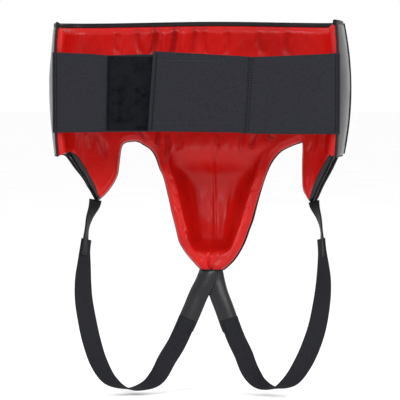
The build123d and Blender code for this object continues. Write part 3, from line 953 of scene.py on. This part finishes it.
left_elastic = panel(
    "left_belt", belt_half(lambda v: -178.9, 54.0, LEFT_Y, LEFT_LOW, LEFT_HIGH),
    (231, 98), 1.6, ELASTIC, 150, 70, elastic_relief)
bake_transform(left_elastic)
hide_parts("left_belt_elastic")

right_elastic = panel(
    "right_belt", belt_half(lambda v: seam_x(v, -4.0), 178.9, FLAP_Y, RIGHT_LOW, RIGHT_HIGH),
    (117, 97), 1.6, ELASTIC, 110, 70, elastic_relief, push=0.13)
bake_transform(right_elastic)
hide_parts("right_belt_elastic")


def fuzz(seed):
    """Uneven pile of the hook and loop pieces, as a relief."""
    def relief(u, v):
        x, z = 160.0 * u, 92.0 * v
        return 0.16 * ripple(x, z, 2.6, seed) + 0.12 * ripple(x, z, 6.5, seed + 1)
    return relief


loop_patch = panel(
    "loop_pile", bilinear([(-111.5, -47.3), (53.5, -47.3), (53.5, 42.0), (-109.5, 44.8)], LOOP_Y),
    (165, 92), 1.4, LOOPS, 210, 120, fuzz(31), "left_belt")
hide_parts("loop_patch")

flap = panel(
    "flap", bilinear([(-59.3, -48.6), SEAM[0], SEAM[1], (-52.2, 51.0)], FLAP_Y),
    (122, 97), 1.9, ELASTIC, 110, 90, flap_relief)
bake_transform(flap)
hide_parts("closure_flap")

hook_patch = panel(
    "hook_pile", bilinear([(-50.5, -41.5), (47, -41.5), (47.5, 42.5), (-47.5, 42.5)], HOOK_Y),
    (97, 84), 1.3, HOOKS, 90, 80, fuzz(41), "closure_flap")
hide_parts("hook_patch")


def belt_seam(name, ends, y, material, body, pitch=2.6, thick=0.62, length=1.8):
    """A straight row of stitches on the belt's outer face, from one (x, z) to another."""
    (x0, z0), (x1, z1) = ends
    t = np.linspace(0, 1, 40)
    x, z = x0 + (x1 - x0) * t, z0 + (z1 - z0) * t
    stitches(name, join(x, y + sway(x, z), z), OUTWARD, material, body, pitch, length, thick)


OUTWARD = (0.0, -1.0, 0.0)               # away from the wearer's back
FLAP_FACE = FLAP_Y - 0.9
belt_seam("flap_left_seam", [(-54.3, -47.0), (-47.6, 48.6)], FLAP_FACE, DARK_THREAD,
          "closure_flap", pitch=3.1, thick=0.7, length=1.5)
for name, ends in (("upper", [(-46.5, 39.6), (54.0, 38.4)]),
                   ("lower", [(-52.0, -37.6), (52.0, -38.2)])):
    belt_seam(f"flap_{name}_seam", ends, FLAP_FACE + 0.2, GREY_THREAD, "closure_flap", thick=0.34)
for number, gap in enumerate((1.8, 5.0)):
    belt_seam(f"joining_seam_{number + 1}", [(seam_x(0.02, gap), -48.5), (seam_x(0.97, gap), 41.5)],
              FLAP_Y - 0.75, DARK_THREAD, "right_belt", pitch=3.4, thick=0.7, length=1.6)
belt_seam("loop_left_seam", [(-108.6, -45.5), (-106.8, 43.0)], LOOP_Y - 0.75, DARK_THREAD,
          "left_belt", pitch=2.4)
for side, name, y, low, high in ((-1, "left", LEFT_Y, -48.5, 47.5),
                                 (1, "right", FLAP_Y, -49.5, 45.8)):
    for number, x in enumerate((176.6, 173.6)):
        face = y * (1 - end_share(x)) + END_Y * end_share(x) - 0.85
        stitches(f"{name}_end_seam_{number + 1}", join(side * x, face, np.linspace(low, high, 40)),
                 OUTWARD, DARK_THREAD, pitch=3.2, length=2.2, thick=0.6)

# ---- leg straps


def strap(name, stations, profile, material):
    """A strap through stations, each a middle point and the direction of the strap's width.

    Gives its middle line, its width directions and the piece."""
    stations = np.array(stations, float)
    middles, widths = stations[:, :3], unit(stations[:, 3:])
    line = route(np.hstack([middles, widths * 40.0]), int(length_of(middles) / 2.5) + 2)
    centres, across = line[:, :3], unit(line[:, 3:])
    return centres, across, sweep(name, centres, across, profile, material, None)


def length_of(points):
    """Length of a line through points."""
    return float(np.sum(np.linalg.norm(np.diff(points, axis=0), axis=1)))


def strap_seam(name, centres, across, offset, lift, material, span, **look):
    """A row of stitches along a strap, offset across it, on the face towards lift's sign."""
    along = unit(np.gradient(centres, axis=0))
    across = square_to(across, along)
    normal = np.cross(along, across) * math.copysign(1, lift)
    first, last = (int(share * (len(centres) - 1)) for share in span)
    line = (centres + across * offset + normal * abs(lift))[first:last + 1]
    stitches(name, line, normal[first:last + 1], material, **look)


# Stations from the top down: x, y, z of the middle, then the direction of the width.
CROTCH = {
    "left": [(11, 35, -224, 1, 0, 0), (9.5, 31.5, -231, 1, 0, 0),
             (4, 30, -246, 0.97, 0, -0.2), (-4, 29, -262, 0.93, 0, -0.36),
             (-11, 27.6, -279, 0.90, 0, -0.42), (-19, 26.4, -297.6, 0.90, 0, -0.43),
             (-22.5, 26.2, -305, 0.90, 0, -0.43)],
    "right": [(13, 38, -224, 1, 0, 0), (14.5, 34.5, -231, 1, 0, 0),
              (17.5, 33.5, -246, 0.97, 0, 0.2), (22, 32, -262, 0.93, 0, 0.36),
              (29, 30.6, -280, 0.92, 0, 0.38), (36, 29.4, -299.6, 0.92, 0, 0.38),
              (39, 29.2, -307, 0.92, 0, 0.38)],
}
HANGERS = {
    "left": [(-137, 18, -139, 0.66, 0.75, 0), (-138.5, 17, -147, 0.60, 0.80, 0),
             (-144.5, 15, -162, 0.30, 0.95, 0), (-147.8, 13.5, -177, 0.10, 0.99, 0),
             (-149.6, 12, -194, 0.22, 0.98, 0), (-151.0, 10, -211, 0.34, 0.94, 0)],
    "right": [(145, 18, -140, -0.66, 0.75, 0), (146.5, 17, -147, -0.60, 0.80, 0),
              (152, 15, -162, -0.30, 0.95, 0), (155, 13.5, -177, -0.10, 0.99, 0),
              (156.2, 12, -194, -0.22, 0.98, 0), (157, 10, -211, -0.34, 0.94, 0)],
}
LEG_LOOPS = {
    "left": [(-148.6, 15.4, -190, 0.42, 0.90, 0), (-150.3, 13.0, -205, 0.45, 0.89, 0),
             (-151.0, 9, -224, 0.62, 0.78, 0), (-151.5, 3, -244, 0.80, 0.60, 0),
             (-149.8, -3, -268, 0.92, 0.39, 0), (-144, -9, -298, 0.97, 0.20, 0.10),
             (-138, -12, -322, 0.96, 0, 0.26), (-129.5, -12, -347, 0.90, -0.20, 0.35),
             (-116, -8, -369.5, 0.70, -0.55, 0.40), (-94, 0, -382, 0.35, -0.93, 0.10),
             (-72, 8, -379, 0.45, -0.85, -0.25), (-56, 13, -367, 0.75, -0.40, -0.50),
             (-44.5, 18, -346, 0.85, -0.10, -0.52), (-33, 21, -327, 0.88, 0, -0.47),
             (-23.5, 20.8, -307, 0.86, 0, -0.51), (-17.6, 21.8, -293, 0.80, 0, -0.60)],
    "right": [(154.5, 15.4, -188, -0.42, 0.90, 0), (156.0, 13.0, -205, -0.45, 0.89, 0),
              (157.3, 9, -224, -0.62, 0.78, 0), (157.8, 3, -244, -0.80, 0.60, 0),
              (155.8, -3, -268, -0.92, 0.39, 0), (150.5, -9, -298, -0.97, 0.20, 0.10),
              (142.5, -12, -323, -0.96, 0, 0.26), (132, -12, -346, -0.90, -0.20, 0.38),
              (117, -8, -368, -0.70, -0.55, 0.42), (97, 0, -379.5, -0.35, -0.93, 0.10),
              (77, 9, -375, -0.50, -0.80, -0.35), (63.5, 15, -359, -0.78, -0.35, -0.52),
              (54.5, 20, -338, -0.88, -0.10, -0.46), (46, 23, -321, -0.91, 0, -0.41),
              (39.5, 23.8, -305, -0.90, 0, -0.44), (35.2, 24.8, -293, -0.86, 0, -0.50)],
}
CROWN = 1.7               # how far the middle of a crotch strap stands up
LEATHER_STRAP = flat_profile(25.0, 2.0, 1.2, CROWN, 13)
HANGER_STRAP = flat_profile(21.0, 1.8, 1.0, 0.3, 11)
WEB_STRAP = flat_profile(24.0, 1.5, 0.7, 0.0, 13)

for side, stations in CROTCH.items():
    centres, across, arm = strap(f"{side}_crotch", stations, LEATHER_STRAP, BLACK)
    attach(arm, "body")
    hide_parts(f"{side}_crotch_strap")
    for number, offset in enumerate((-10.4, -8.6, 8.6, 10.4)):
        lift = 1.1 + CROWN * (1 - (offset / 12.5) ** 2)
        strap_seam(f"{side}_crotch_seam_{number + 1}", centres, across, offset, lift, GREY_THREAD,
                   (0.06, 0.90), thick=0.3, pitch=2.8)

for side, stations in HANGERS.items():
    centres, across, arm = strap(f"{side}_hanger", stations, HANGER_STRAP, STRAP)
    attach(arm, "body")
    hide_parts(f"{side}_hanger_strap")
    for number, (offset, face) in enumerate(((-8.8, 1.0), (8.8, 1.0), (-8.8, -1.0), (8.8, -1.0))):
        strap_seam(f"{side}_hanger_seam_{number + 1}", centres, across, offset, face, GREY_THREAD,
                   (0.1, 0.98), thick=0.24, pitch=2.8)

for side, stations in LEG_LOOPS.items():
    centres, across, loop = strap(f"{side}_leg_loop", stations, WEB_STRAP, WEBBING)
    joint = JOINTS[f"{side}_leg_loop_swing"]
    hinge, axis = np.array(joint["pos_m"]), np.array(joint["axis"])
    away = square_to(centres[len(centres) // 2] * MM - hinge, axis)
    start, end = hinge + away * 0.014, hinge + away * 0.052
    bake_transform(loop)
    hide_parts(f"{side}_leg_elastic")
    print(side, "leg webbing", round(length_of(centres)), "mm long")
    # The webbing is sewn to the crotch strap with two short rows of stitches.
    facing = np.cross(unit(centres[-1] - centres[-4]), across[-1])[1]
    face = -1.0 if facing > 0 else 1.0
    for number, offset in enumerate((-8.5, 8.5)):
        strap_seam(f"{side}_joint_seam_{number + 1}", centres, across, offset, face, DARK_THREAD,
                   (0.955, 0.995), thick=0.3, pitch=2.4)

# ---- camera, light and floor

SCENE = bpy.context.scene
target = Vector((-0.0002, 0.0, -0.138))
azimuth, elevation, distance = math.radians(4.2), math.radians(3.0), 2.8
camera_data = bpy.data.cameras.new("camera")
camera_data.sensor_width = 36.0
camera_data.lens = camera_data.sensor_width * distance / 0.512     # 0.512 m across the picture
camera = in_scene("camera", camera_data)
camera.location = target + distance * Vector((
    math.sin(azimuth) * math.cos(elevation), -math.cos(azimuth) * math.cos(elevation),
    math.sin(elevation)))
camera.rotation_euler = (target - camera.location).to_track_quat("-Z", "Y").to_euler()
SCENE.camera = camera
SCENE.view_settings.view_transform = "Standard"


def soft_light(name, place, aim, size, power):
    """A rectangular soft light."""
    data = bpy.data.lights.new(name, "AREA")
    data.shape = "RECTANGLE"
    data.size, data.size_y = size
    data.energy = power
    light = in_scene(name, data)
    light.location = place
    light.rotation_euler = (Vector(aim) - Vector(place)).to_track_quat("-Z", "Y").to_euler()


soft_light("key", (-1.3, -1.9, 1.1), (0, 0, -0.1), (0.8, 0.8), 26)
soft_light("front", (0.2, -2.7, 0.25), (0, 0, -0.15), (0.35, 0.35), 9)
soft_light("left_side", (-1.6, -0.4, 0.5), (0, 0, 0.05), (0.5, 0.5), 3)
soft_light("right_side", (1.5, -0.7, 0.5), (0, 0, 0.05), (0.6, 0.6), 16)
world = bpy.data.worlds.new("studio")
world.use_nodes = True
world.node_tree.nodes["Background"].inputs["Color"].default_value = (1, 1, 1, 1)
world.node_tree.nodes["Background"].inputs["Strength"].default_value = 1.0
SCENE.world = world

floor_mesh = bpy.data.meshes.new("floor")
reach, floor_z = 30.0, -0.390
corners = [(-reach, -reach), (reach, -reach), (reach, reach), (-reach, reach)]
floor_mesh.from_pydata([(x, y, floor_z) for x, y in corners], [], [(0, 1, 2, 3)])
floor_mesh.materials.append(floor_paint("floor_paint"))
in_scene("floor", floor_mesh)
